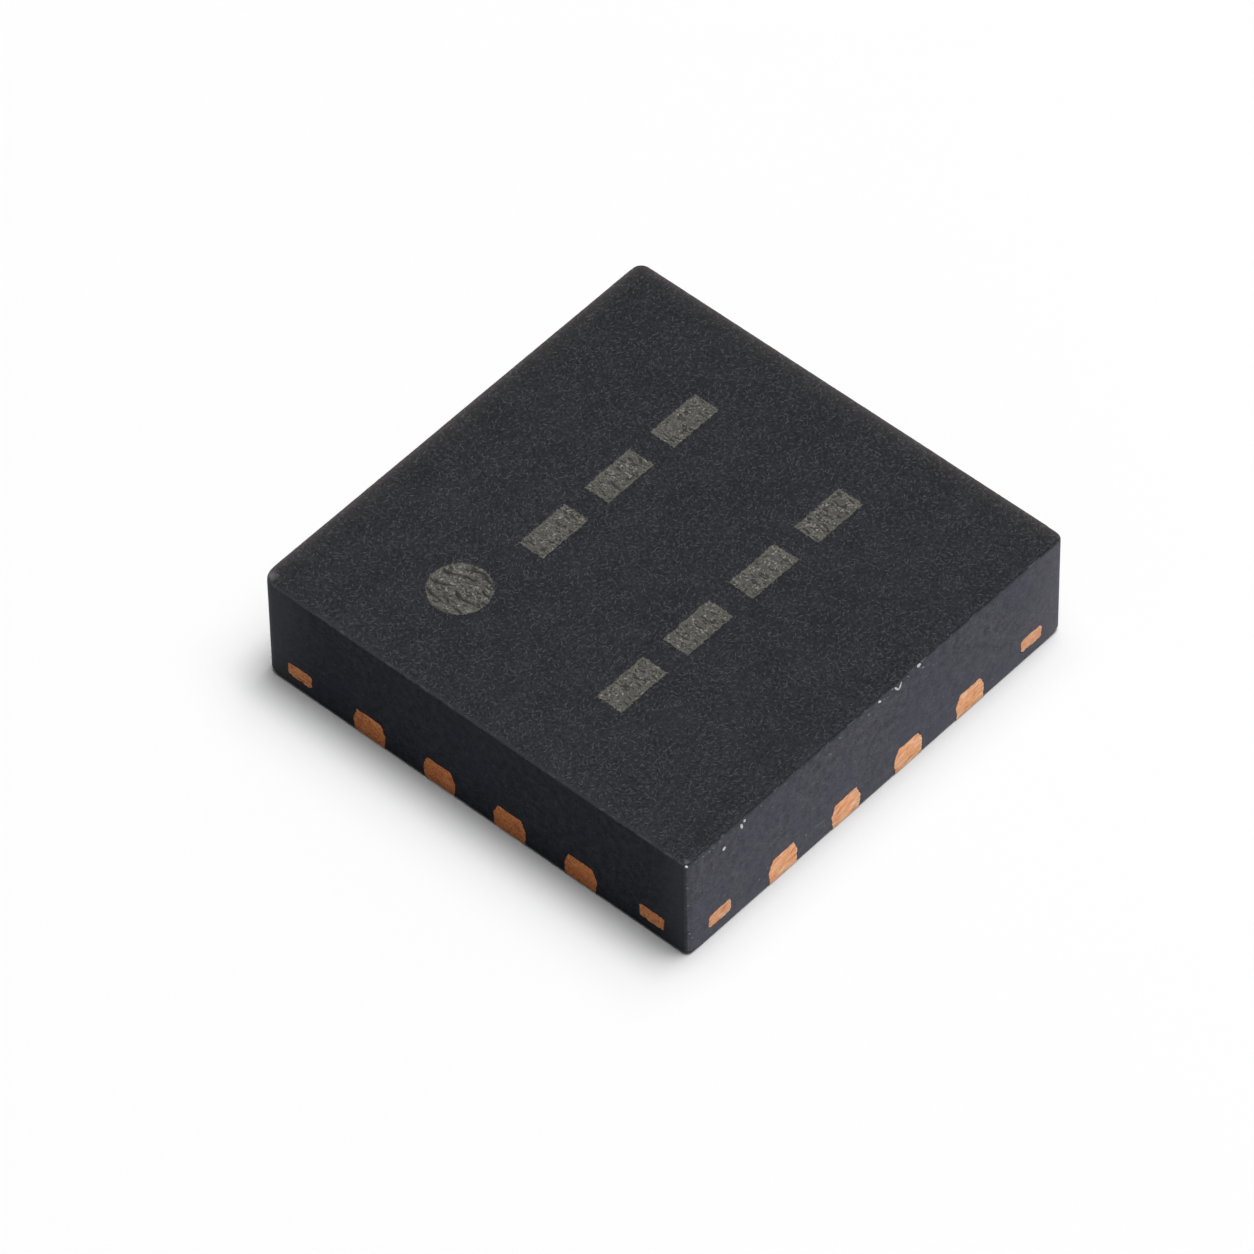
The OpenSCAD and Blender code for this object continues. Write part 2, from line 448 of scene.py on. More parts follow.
def open_sawn_ends(obj):
    """Gives every sawn copper end a finely divided outline, a lip in painted shade and a rim in a painted highlight.
    """
    only(obj)
    dress(obj, *COPPER)
    bpy.ops.object.mode_set(mode="EDIT")
    pick(obj, "FACE", on_a_side)
    bpy.ops.mesh.dissolve_faces()
    pick(obj, "FACE", on_a_side)
    bpy.ops.mesh.delete(type="ONLY_FACE")
    pick(obj, "EDGE", lambda a, b: on_outline(a) and on_outline(b) and (a - b).length > LONG_EDGE)
    bpy.ops.mesh.subdivide(number_cuts=END_CUTS)
    bpy.ops.object.mode_set(mode="OBJECT")
    smear_outline(obj.data)
    bpy.ops.object.mode_set(mode="EDIT")
    bpy.ops.mesh.select_mode(type="EDGE")
    bpy.ops.mesh.select_all(action="DESELECT")
    bpy.ops.mesh.select_non_manifold()
    bpy.ops.mesh.fill_holes(sides=0)
    pick(obj, "FACE", on_a_side)
    for slot, width in ((1, LIP_W), (2, RIM_W)):
        obj.active_material_index = slot
        bpy.ops.object.material_slot_assign()
        bpy.ops.mesh.inset(thickness=width, use_individual=True)
    obj.active_material_index = 0
    bpy.ops.object.material_slot_assign()
    bpy.ops.object.mode_set(mode="OBJECT")


def end_shift(here, seed):
    """How far the outline of a sawn end is off its line at a place."""
    return END_WANDER * wander(here, END_WANDER_SIZE, seed) + END_JAG * wander(here, END_JAG_SIZE, seed)


def wear_sawn_ends(obj, seed):
    """Moves the outline of the sawn ends in and out, drops the lip and hollows the middle a little."""
    mesh = obj.data
    lip, dish = set(), set()
    for f in mesh.polygons:
        if on_a_side(f.center, f.normal):
            (dish if len(f.vertices) > RING_SIDES else lip).update(f.vertices)
    outline = set()
    for f in mesh.polygons:
        if not on_a_side(f.center, f.normal):
            outline.update(lip & set(f.vertices))
    for i in lip | dish:
        v = mesh.vertices[i]
        here = v.co.copy()
        along_x = abs(here.y) > abs(here.x)
        side = Vector((0, math.copysign(1, here.y), 0)) if along_x else Vector((math.copysign(1, here.x), 0, 0))
        along = Vector((1, 0, 0)) if along_x else Vector((0, 1, 0))
        v.co += along * end_shift(here, seed)
        # The foot stays flat on the seating plane
        v.co.z += end_shift(here, seed + 0.5) * min(1, here.z / FLAT_FOOT)
        if i in outline:
            v.co -= side * LIP_DROP
        elif i in dish:
            v.co -= side * DISH_DROP
    mesh.update()


def copper_pieces():
    """The sixteen leads and the die pad in their places, and plain copies of them all to cut their pockets with."""
    plain = etched_lead()
    ended = twin(plain, "ended_lead")
    open_sawn_ends(ended)
    leads, pockets = [], []
    for n in range(1, PINS + 1):
        low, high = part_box(f"pin_{n:02d}")
        turn = Matrix.Rotation((n - 1) // PINS_PER_SIDE * math.pi / 2, 4, "Z")
        middle = turn.inverted() @ ((low + high) / 2)
        place = turn @ Matrix.Translation((0, middle.y, 0))
        lead = twin(ended, f"lead_{n:02d}")
        lead.data.transform(place)
        wear_sawn_ends(lead, n)
        leads.append(lead)
        pocket = twin(plain, "pocket")
        pocket.data.transform(place)
        pockets.append(pocket)
    bpy.data.objects.remove(plain)
    bpy.data.objects.remove(ended)
    pad = die_pad_plate()
    pockets.append(twin(pad, "pocket"))
    open_sawn_ends(pad)
    wear_sawn_ends(pad, PAD_SEED)
    return leads, pad, join(pockets)


# Moulded block

def laser_depth(x, y):
    """Depth of the laser work at a point of the top face."""
    spot = SPOT_R - math.hypot(x - SPOT_X, y - SPOT_Y)
    if spot > 0:
        return SPOT_DEPTH * min(1, spot / LASER_SLOPE)
    k = round((x - BAR_FIRST_X) / BAR_PITCH)
    upper = y > ROW_MID_Y
    # The upper row leaves its first column to the spot
    if k < (1 if upper else 0) or k > BAR_COLUMNS - 1:
        return 0
    local_x = abs(x - BAR_FIRST_X - k * BAR_PITCH)
    local_y = abs(abs(y - ROW_MID_Y) - ROW_OFFSET)
    inside = min(BAR_W / 2 - local_x, BAR_H / 2 - local_y)
    return BAR_DEPTH * min(1, max(0, inside) / LASER_SLOPE)


def past_straight(x, y):
    """Radius of the upright edge nearest to a point of the plan, and how far the point is past where its rounding
    starts, along X and along Y."""
    r = CORNER_R[(1 if x > 0 else -1, 1 if y > 0 else -1)]
    return r, abs(x) - HALF + r, abs(y) - HALF + r


def round_plan(co):
    """Rounds the four corners of a square grid of points, keeping the grid's rows."""
    for p in co:
        r, u, v = past_straight(p[0], p[1])
        if u > 0 and v > 0:
            u, v = u / r, v / r
            p[0] = math.copysign(HALF - r + r * u * math.sqrt(1 - v * v / 2), p[0])
            p[1] = math.copysign(HALF - r + r * v * math.sqrt(1 - u * u / 2), p[1])
    return co


def side_distance(x, y):
    """How far a point of the plan lies inside the rounded square outline."""
    r, u, v = past_straight(x, y)
    if u > 0 and v > 0:
        return r - math.hypot(u, v)
    return r - max(u, v)


def inward(x, y):
    """Direction from the nearest point of the rounded square outline into the plan."""
    r, u, v = past_straight(x, y)
    if u > 0 and v > 0:
        far = math.hypot(u, v)
        return -math.copysign(u / far, x), -math.copysign(v / far, y)
    if u > v:
        return -math.copysign(1, x), 0
    return 0, -math.copysign(1, y)


def corner_nearness(x, y):
    """1 at the corners of the plan, falling to 0 a little way from them."""
    return max(0, 1 - math.hypot(HALF - abs(x), HALF - abs(y)) / CORNER_REACH)


def front_wear(x, y):
    """1 at the two sides towards -X and -Y, falling to 0 a little way in from them."""
    return max(0, min(1, (-min(x, y) - HALF + FRONT_BAND) / FRONT_FADE))


def top_edge_radius(x, y):
    """Radius of the top edge at a place: the two edges towards -X and -Y are worn the most."""
    at_corner = BACK_CORNER_CHANGE if y > 0 else FRONT_CORNER_CHANGE
    wear = 1 + EDGE_R_CHANGE * wander((x, y, 0), EDGE_R_SIZE, EDGE_R_SEED) + at_corner * corner_nearness(x, y)
    return (BACK_EDGE_R + (FRONT_EDGE_R - BACK_EDGE_R) * front_wear(x, y)) * wear


def low_edge_radius(x, y):
    """Radius of the lower edge at a place: the four low corners are worn the most."""
    return LOW_EDGE_R + (LOW_CORNER_R - LOW_EDGE_R) * corner_nearness(x, y)


def wear_block(mesh):
    """Grain on the top face, worn rounded edges, the waves of the saw and the hollows of the laser work."""
    co = vertex_array(mesh)
    for p in co:
        x, y, z = p
        from_side = max(0, side_distance(x, y))
        from_top = TOP - z
        from_low = z - UNDERSIDE
        on_top = from_top < ON_FACE
        on_wall = from_side < ON_FACE
        inx, iny = inward(x, y)
        # Along the profile, from the top face over the edge and down the wall
        radius = top_edge_radius(x, y)
        low_radius = low_edge_radius(x, y)
        past = from_top - from_side
        new_side, new_top = from_side, from_top
        if (on_top or on_wall) and abs(past) < radius:
            turn = (past / radius + 1) * math.pi / 4
            new_side = radius * (1 - math.sin(turn))
            new_top = radius * (1 - math.cos(turn))
        elif on_wall and from_low < low_radius:
            turn = (1 - max(0, from_low) / low_radius) * math.pi / 2
            new_side = low_radius * (1 - math.cos(turn))
            new_top = TOP - UNDERSIDE - low_radius * (1 - math.sin(turn))
        if on_top:
            grain = 0.5 + 0.5 * wander((x, y, 0), TOP_GRAIN_SIZE, TOP_GRAIN_SEED)
            new_top += TOP_GRAIN * grain + laser_depth(x, y)
        elif on_wall and from_low > low_radius:
            drawn = (x / SAW_WAVE_DRAW, y / SAW_WAVE_DRAW, z)
            new_side += SAW_WAVE * (0.5 + 0.5 * wander(drawn, SAW_WAVE_SIZE, SAW_WAVE_SEED))
        edge = max(0, 1 - (from_side + from_top) / EDGE_WEAR_REACH)
        ragged = EDGE_WEAR * edge * (BACK_SHARE + FRONT_SHARE * front_wear(x, y))
        ragged *= 1 + wander((x, y, z), EDGE_WEAR_SIZE, EDGE_WEAR_SEED)
        new_side += ragged
        new_top += ragged
        p[0] += inx * (new_side - from_side)
        p[1] += iny * (new_side - from_side)
        p[2] = TOP - new_top
    set_vertices(mesh, co)


def moulded_block(pockets):
    """The epoxy block: a fine grid for the top, walls drawn down from its rim, pockets for the copper."""
    start_piece()
    bpy.ops.mesh.primitive_grid_add(
        x_subdivisions=TOP_CELLS, y_subdivisions=TOP_CELLS, size=2 * HALF, location=(0, 0, TOP))
    body = bpy.context.object
    body.name = body.data.name = "package_body"
    bpy.ops.object.transform_apply(location=True, rotation=True, scale=True)
    set_vertices(body.data, round_plan(vertex_array(body.data)))
    bpy.ops.object.mode_set(mode="EDIT")
    bpy.ops.mesh.select_mode(type="EDGE")
    bpy.ops.mesh.select_all(action="SELECT")
    bpy.ops.mesh.region_to_loop()
    depth = 0
    for row in [r * UM for r in WALL_ROWS] + [TOP - UNDERSIDE]:
        bpy.ops.mesh.extrude_region_move(TRANSFORM_OT_translate={"value": (0, 0, depth - row)})
        depth = row
    bpy.ops.mesh.edge_face_add()
    bpy.ops.mesh.select_all(action="SELECT")
    bpy.ops.mesh.normals_make_consistent(inside=False)
    bpy.ops.object.mode_set(mode="OBJECT")
    wear_block(body.data)
    # The pockets follow the dragged outline of the copper's ends, and leave a gap round it
    only(pockets)
    bpy.ops.object.mode_set(mode="EDIT")
    pick(pockets, "VERT", on_outline)
    bpy.ops.transform.shrink_fatten(value=SMEAR)
    bpy.ops.mesh.select_all(action="SELECT")
    bpy.ops.transform.shrink_fatten(value=POCKET_GAP)
    bpy.ops.object.mode_set(mode="OBJECT")
    cut_out(body, pockets)
    return body


def edge_crumbs():
    """Filler grains along the chipped edge, each an uneven lump half sunk in the moulding."""
    crumbs = []
    for n, (along, drop, length, height, lean, bright) in enumerate(EDGE_CHIPS):
        start_piece()
        bpy.ops.mesh.primitive_ico_sphere_add(subdivisions=2, radius=1)
        crumb = bpy.context.object
        for v in crumb.data.vertices:
            v.co *= 1 + CRUMB_LUMPS * wander(v.co, CRUMB_LUMP_SIZE, n)
        # Seat the lump on the worn edge where it is near the top, and on the flat of the wall below that
        radius = top_edge_radius(along * MM, -HALF)
        down = drop * UM
        if down < radius:
            turn = math.acos(max(0, 1 - down / radius))
            depth = radius * (1 - math.sin(turn))
        else:
            depth = 0
        # The upright edge at the end of the wall is round
        corner = CORNER_R[(-1, -1)]
        past = -HALF + corner - along * MM
        if past > 0:
            depth += corner - math.sqrt(corner ** 2 - past ** 2)
        size = Matrix.Diagonal((length * UM, CRUMB_HALF_DEPTH, height * UM, 1))
        place = Matrix.Translation((along * MM, -HALF + depth + CRUMB_SUNK, TOP - down))
        crumb.data.transform(place @ Matrix.Rotation(math.radians(lean), 4, "Y") @ size)
        for v in crumb.data.vertices:
            v.co.y = max(v.co.y, -HALF)
            v.co.z = min(v.co.z, TOP)
        dress(crumb, *CRUMB)
        for f in crumb.data.polygons:
            f.material_index = 0 if bright else 1
        crumbs.append(crumb)
    piece = join(crumbs)
    piece.name = piece.data.name = "edge_crumbs"
    return piece


# Material helpers

def feed(tree, socket, value):
    """Gives a socket another node's output, or a constant."""
    if isinstance(value, bpy.types.NodeSocket):
        tree.links.new(value, socket)
    else:
        socket.default_value = value


def node(tree, kind, sockets=None, **settings):
    """Adds a shader node and feeds its sockets."""
    made = tree.nodes.new(kind)
    for key, value in settings.items():
        setattr(made, key, value)
    for key, value in (sockets or {}).items():
        feed(tree, made.inputs[key], value)
    return made


def maths(operation):
    """A function that adds a math node of one kind."""
    def add(tree, a, b=0.0):
        return node(tree, "ShaderNodeMath", {0: a, 1: b}, operation=operation).outputs[0]
    return add


plus, minus, times, over = maths("ADD"), maths("SUBTRACT"), maths("MULTIPLY"), maths("DIVIDE")
least, most, above, power = maths("MINIMUM"), maths("MAXIMUM"), maths("GREATER_THAN"), maths("POWER")
unsigned, root, fraction, remainder = maths("ABSOLUTE"), maths("SQRT"), maths("FRACT"), maths("FLOORED_MODULO")


def axes(tree, place):
    """The X, Y and Z of a place, each on its own."""
    return node(tree, "ShaderNodeSeparateXYZ", {"Vector": place}).outputs


def drawn_out(tree, place, shares):
    """A place with each axis multiplied by its share, so that noise is drawn out along the small ones."""
    return node(tree, "ShaderNodeVectorMath", {0: place, 1: shares}, operation="MULTIPLY").outputs[0]


def spread(tree, value, low, high, to_low=0.0, to_high=1.0):
    """Stretches the range low..high of a value to another range, clamped."""
    sockets = {"Value": value, "From Min": low, "From Max": high, "To Min": to_low, "To Max": to_high}
    return node(tree, "ShaderNodeMapRange", sockets).outputs["Result"]


def mix_colour(tree, factor, a, b, blend="MIX"):
    return node(tree, "ShaderNodeMix", {0: factor, 6: a, 7: b}, data_type="RGBA", blend_type=blend).outputs[2]


def brighter(tone, factor):
    return [factor * value for value in tone[:3]] + [1]


def noise_value(tree, vector, size, detail=2.0, roughness=0.5):
    """Noise with features of about the given size in metres."""
    sockets = {"Vector": vector, "Scale": 1 / size, "Detail": detail, "Roughness": roughness}
    return node(tree, "ShaderNodeTexNoise", sockets).outputs["Fac"]


def bump(tree, height, distance):
    return node(tree, "ShaderNodeBump", {"Height": height, "Distance": distance}).outputs["Normal"]


def new_group(name, outputs):
    """A node group that takes a place and puts out the named values."""
    tree = bpy.data.node_groups.new(name, "ShaderNodeTree")
    tree.interface.new_socket("Place", in_out="INPUT", socket_type="NodeSocketVector")
    for out in outputs:
        tree.interface.new_socket(out, in_out="OUTPUT", socket_type="NodeSocketFloat")
    place = tree.nodes.new("NodeGroupInput").outputs["Place"]
    return tree, place


def close_group(tree, values):
    node(tree, "NodeGroupOutput", values)
    return tree


def use_group(tree, group, place):
    made = node(tree, "ShaderNodeGroup", node_tree=group)
    tree.links.new(place, made.inputs["Place"])
    return made.outputs


def new_material(name):
    mat = bpy.data.materials.new(name)
    mat.use_nodes = True
    tree = mat.node_tree
    shader = tree.nodes["Principled BSDF"]
    place = tree.nodes.new("ShaderNodeTexCoord").outputs["Object"]
    return mat, tree, shader, place


def set_shader(tree, shader, sockets):
    for name, value in sockets.items():
        feed(tree, shader.inputs[name], value)


# Shared effects

# Filler grain: size and share of the fine grain and the clouds, then for each set of strokes the size of its cells,
# half a stroke's length and half its width, and its share
FINE_GRAIN, FINE_SHARE = 17 * UM, 0.6
CLOUD, CLOUD_SHARE = 170 * UM, 0.4
STROKES = (
    (28 * UM, 14 * UM, 4.2 * UM, 1.0),
    (22 * UM, 11 * UM, 3.8 * UM, 0.9),
    (15 * UM, 6.5 * UM, 3.2 * UM, 0.4),
)
HOLLOWS = (25 * UM, 12 * UM, 4.8 * UM)
HOLLOW_SHARE = 0.5
# A stroke: how far it turns and bows, where its flanks and ends fade, and how many are faint
STROKE_TURN = 1.5
STROKE_BOW = 1.6
STROKE_FLANK = (1.3, 0.3)
STROKE_END = (1.1, 0.6)
STROKE_FADE = 2.2
# Saw marks
SAW_DRAW = (0.06, 0.06, 1)
SAW_LINE = 7 * UM
SAW_BLOTCH = 50 * UM
SAW_NICK = 18 * UM


def short_strokes(tree, place, cell, half_length, half_width):
    """Short curved strokes, one in each cell, that lie along X give or take a quarter of a turn."""
    cells = node(tree, "ShaderNodeTexVoronoi", {"Vector": place, "Scale": 1 / cell}, voronoi_dimensions="2D").outputs
    chance = node(tree, "ShaderNodeSeparateColor", {"Color": cells["Color"]}).outputs
    local = node(tree, "ShaderNodeVectorMath", {0: place, 1: cells["Position"]}, operation="SUBTRACT").outputs[0]
    angle = spread(tree, chance["Red"], 0, 1, -STROKE_TURN, STROKE_TURN)
    turned = node(tree, "ShaderNodeVectorRotate", {"Vector": local, "Angle": angle}, rotation_type="Z_AXIS").outputs[0]
    uv = axes(tree, turned)
    u = over(tree, uv["X"], half_length)
    v = over(tree, uv["Y"], half_width)
    bow = times(tree, times(tree, u, u), spread(tree, chance["Green"], 0, 1, -STROKE_BOW, STROKE_BOW))
    across = unsigned(tree, plus(tree, v, bow))
    stroke = times(tree, spread(tree, across, *STROKE_FLANK), spread(tree, unsigned(tree, u), *STROKE_END))
    return times(tree, stroke, power(tree, chance["Blue"], STROKE_FADE))


def filler_grain():
    """The grain of mineral filler in the epoxy: soft tone, short pale strokes and height."""
    tree, place = new_group("filler grain", ["Tone", "Strokes", "Height"])
    fine = times(tree, noise_value(tree, place, FINE_GRAIN, 1), FINE_SHARE)
    clouds = times(tree, noise_value(tree, place, CLOUD), CLOUD_SHARE)
    # The strokes lie in the plane of the top face, and carry on over its edges at a slant
    xyz = axes(tree, place)
    slanted = {axis: plus(tree, xyz[axis], xyz["Z"]) for axis in ("X", "Y")}
    flat = node(tree, "ShaderNodeCombineXYZ", slanted).outputs[0]
    strokes = 0.0
    for *size, share in STROKES:
        strokes = most(tree, strokes, times(tree, short_strokes(tree, flat, *size), share))
    hollows = short_strokes(tree, flat, *HOLLOWS)
    tone = minus(tree, plus(tree, fine, clouds), times(tree, hollows, HOLLOW_SHARE))
    return close_group(tree, {"Tone": tone, "Strokes": strokes, "Height": plus(tree, fine, strokes)})


def saw_marks():
    """What the saw blade leaves on a cut side: fine level lines, blotches and scattered bright nicks."""
    tree, place = new_group("saw marks", ["Lines", "Blotches", "Nicks"])
    lines = noise_value(tree, drawn_out(tree, place, SAW_DRAW), SAW_LINE, 3, 0.6)
    blotches = noise_value(tree, place, SAW_BLOTCH, 4, 0.65)
    nicks = spread(tree, noise_value(tree, place, SAW_NICK, 1), 0.70, 0.80)
    return close_group(tree, {"Lines": lines, "Blotches": blotches, "Nicks": nicks})


GRAIN = filler_grain()
SAW = saw_marks()


# Materials

# Skin from the mould
SKIN_DARK = (0.0034, 0.0041, 0.0069, 1)
SKIN_LIGHT = (0.0105, 0.0118, 0.0163, 1)
SKIN_STROKE = (0.062, 0.064, 0.071, 1)
SKIN_SPECULAR = 0.3
SKIN_ROUGHNESS = (0.75, 0.55)
SKIN_BUMP = 2 * UM
# How far below the top the top face's own looks reach, where its rounded edge above the first cut is painted paler
# with light that fills its shade, and the reach and tone of the painted sheen at the far edges
TOP_BAND = 40 * UM
FIRST_EDGE_LIGHT = (18 * UM, 6 * UM, 0.0, 0.4)
EDGE_HIGHLIGHT = (0.130, 0.135, 0.146, 1)
FIRST_EDGE_LIGHT_TONE = (0.060, 0.062, 0.068, 1)
FAR_SHEEN = ((150 * UM, (0.024, 0.021, 0.0185, 1)), (50 * UM, (0.060, 0.043, 0.038, 1)))
# Upright edges and corners, paler partly from wear and partly as a painted highlight: their tone, its share on the
# skin and on the sawn sides, where a line fades, the size of its patches, and the reach of a corner's pale patch at -Y
# and +Y and its share at -X and +X
WORN_AND_LIT = (0.15, 0.15, 0.16, 1)
SKIN_WORN_LIT_SHARE = 0.8
SAWN_WORN_LIT_SHARE = 0.6
UPRIGHT_WORN_LIT = (30 * UM, 10 * UM)
UPRIGHT_PATCH = 30 * UM
CORNER_WORN_LIT = (42 * UM, 80 * UM)
CORNER_SHARES = (1.0, 0.3)
# Laser work: how ragged its edge is, the tones of the melted skin, and the sizes of its ropes, strands and beads
LASER_RAG = 7 * UM
LASER_RAG_SIZE = 14 * UM
LASER_EDGE = (-3 * UM, 5 * UM)
LASER_RIM = (12 * UM, 3 * UM, 0.0, 0.4)
SPOT_EDGE = 20 * UM
LASER_DRAW = (1, 0.4, 1)
ROPE_PITCH = 85 * UM
ROPE_DRIFT = 0.6 * ROPE_PITCH
ROPE_DRIFT_SIZE = 120 * UM
FURROW_BREAK = 90 * UM
STRAND = 19 * UM
BEAD = 15 * UM
RIDGE_SHARE = 0.6
FURROW_SHARE = 0.9
CREST_HEIGHT = 1.5
MELT_DARK = (0.030, 0.028, 0.025, 1)
MELT_LIGHT = (0.080, 0.077, 0.067, 1)
MELT_RIDGE = (0.20, 0.195, 0.17, 1)
MELT_BEAD = (0.38, 0.37, 0.33, 1)
MELT_FURROW = (0.015, 0.0145, 0.0135, 1)
MELT_RIM = (0.20, 0.19, 0.155, 1)
# The sawn compound: its darkest, lightest and bluest tone, how far painted bounce light from the table pales it
# towards the underside, its specular level, the axis that the side runs along, the tone, reaches and shares of the
# paler tone at the two ends of the side, and the depth and tone of the band along the top edge, mould skin painted
# paler with light.
# The sides at -X and +X were cut first, those at -Y and +Y across them; the one compound is painted dark with shade on
# the first and pale with light on the second, and the first has less specular.
SHADED_FIRST_CUT = {
    "dark": (0.010, 0.0112, 0.0155, 1), "light": (0.023, 0.025, 0.032, 1), "blue": (0.014, 0.017, 0.027, 1),
    "paler": 0.0, "specular": 0.025,
    "axis": "Y", "end_tone": (0.050, 0.052, 0.060, 1), "reaches": (0.33 * MM, 0.55 * MM), "shares": (0.7, 1.0),
    "skin_depth": 24 * UM, "edge_light_tone": (0.080, 0.082, 0.089, 1),
}
LIT_SECOND_CUT = {
    "dark": (0.033, 0.034, 0.050, 1), "light": (0.085, 0.084, 0.109, 1), "blue": (0.045, 0.055, 0.090, 1),
    "paler": 0.6, "specular": 0.15,
    "axis": "X", "end_tone": (0.120, 0.119, 0.142, 1), "reaches": (0.3 * MM, 0.6 * MM), "shares": (0.0, 0.6),
    "skin_depth": 20 * UM, "edge_light_tone": (0.040, 0.041, 0.046, 1),
}
# On both cuts: shares of grain and blotches, size of the blue patches, the heights between which painted bounce light
# pales the sides and how much, the nicks, and the uneven line down to which the painted-light band of mould skin
# reaches
GRAIN_SHARE, BLOTCH_SHARE = 0.35, 0.65
BLUE_PATCH = 280 * UM
PALE_LOW = (0.5 * MM, 0.0, 0.0, 0.6)
PALE_FOOT = (0.12 * MM, 0.03 * MM, 0.0, 0.4)
PALE_TONE = 1.3
NICK_TONE = 4
NICK_SHARE = 0.3
SKIN_LINE = 6 * UM
SKIN_LINE_SIZE = 34 * UM
SKIN_FADE = 8 * UM
SKIN_BREAK = 60 * UM
EDGE_LIGHT_SHARE = 0.7
SAWN_ROUGHNESS = (0.58, 0.46)
SAW_LINE_HEIGHT = 0.5
SAWN_BUMP = 0.6 * UM
# Copper: the tone of its dark seams, what tints the ends in the two cuts (painted shade, darker and browner, on the
# first), its marks, each with where its seams and streaks start and are full, and the tin on its feet
WHITE = (1, 1, 1, 1)
COPPER_SEAM = (0.40, 0.12, 0.045, 1)
SHADED_FIRST_CUT_COPPER = (0.475, 0.28, 0.10, 1)
SHADED_FIRST_CUT_TIE = (0.50, 0.355, 0.185, 1)
SECOND_CUT_TIE = (0.86, 0.86, 0.89, 1)
TIE_REACH = 0.4 * MM
DRAG_DRAW = (0.25, 0.25, 1)
DRAG, DRAG_SEAMS, DRAG_STREAKS = 19 * UM, (0.40, 0.28, 0.45), (0.54, 0.68, 0.6)
GRIT, GRIT_SEAMS, GRIT_STREAKS = 14 * UM, (0.46, 0.28), (0.56, 0.72)
GRIT_SHARES = (0.15, 1.0)
SCRATCH, SCRATCH_SEAMS, SCRATCH_STREAKS = 12 * UM, (0.44, 0.30), (0.55, 0.69)
SCRATCH_SHARES = (0.35, 1.0)
SCRATCH_DRAW = 0.13
SCRATCH_SLANT = 0.4
SCRATCH_FIELD = 350 * UM
TIN_LINE = (9 * UM, 6 * UM)
TIN_GRAIN = 10 * UM
TIN_DARK = (0.42, 0.42, 0.43, 1)
TIN_LIGHT = (0.70, 0.70, 0.70, 1)
COPPER_METAL = 0.65
COPPER_GLOSS = 0.08
COPPER_HELD_BACK = 0.85
COPPER_BUMP = 0.8 * UM
# Filler crumbs, and how much the gloss of the hidden metal varies
CRUMB_GRAIN = 7 * UM
CRUMB_ROUGHNESS = 0.7
CRUMB_BUMP = 2 * UM
METAL_GLOSS = 0.06
# The die: fields of wiring with bare lines between them
FIELD_TONES = {"Color1": (0.16, 0.17, 0.22, 1), "Color2": (0.30, 0.27, 0.30, 1), "Mortar": (0.40, 0.38, 0.33, 1)}
FIELD_SIZES = {"Scale": 1.0, "Mortar Size": 4 * UM, "Brick Width": 160 * UM, "Row Height": 70 * UM}
FIELD_METAL = 0.6
FIELD_CLOUD = 60 * UM
FIELD_ROUGHNESS = (0.2, 0.3)


def laser_mask(tree, place):
    """1 inside the laser spot and the bars, with a ragged edge; how far inside a place is; and 1 in the spot alone."""
    ragged = noise_value(tree, place, LASER_RAG_SIZE, 1)
    nudge = spread(tree, ragged, 0.25, 0.75, -LASER_RAG, LASER_RAG)
    xyz = axes(tree, place)
    x, y = xyz["X"], xyz["Y"]
    dx = minus(tree, x, SPOT_X)
    dy = minus(tree, y, SPOT_Y)
    far = root(tree, plus(tree, times(tree, dx, dx), times(tree, dy, dy)))
    spot = minus(tree, SPOT_R, far)
    row_start = BAR_FIRST_X - BAR_PITCH / 2
    in_column = remainder(tree, minus(tree, x, row_start), BAR_PITCH)
    local_x = unsigned(tree, minus(tree, in_column, BAR_PITCH / 2))
    from_mid = minus(tree, y, ROW_MID_Y)
    local_y = unsigned(tree, minus(tree, unsigned(tree, from_mid), ROW_OFFSET))
    bars = least(tree, minus(tree, BAR_W / 2, local_x), minus(tree, BAR_H / 2, local_y))
    # The rows end after the last column, and the upper row leaves its first column to the spot
    right = minus(tree, BAR_FIRST_X + (BAR_COLUMNS - 0.5) * BAR_PITCH, x)
    left_end = plus(tree, times(tree, above(tree, from_mid, 0.0), BAR_PITCH), row_start)
    bars = least(tree, bars, least(tree, minus(tree, x, left_end), right))
    inside = plus(tree, most(tree, spot, bars), nudge)
    return spread(tree, inside, *LASER_EDGE), inside, spread(tree, spot, -SPOT_EDGE, 0.0)


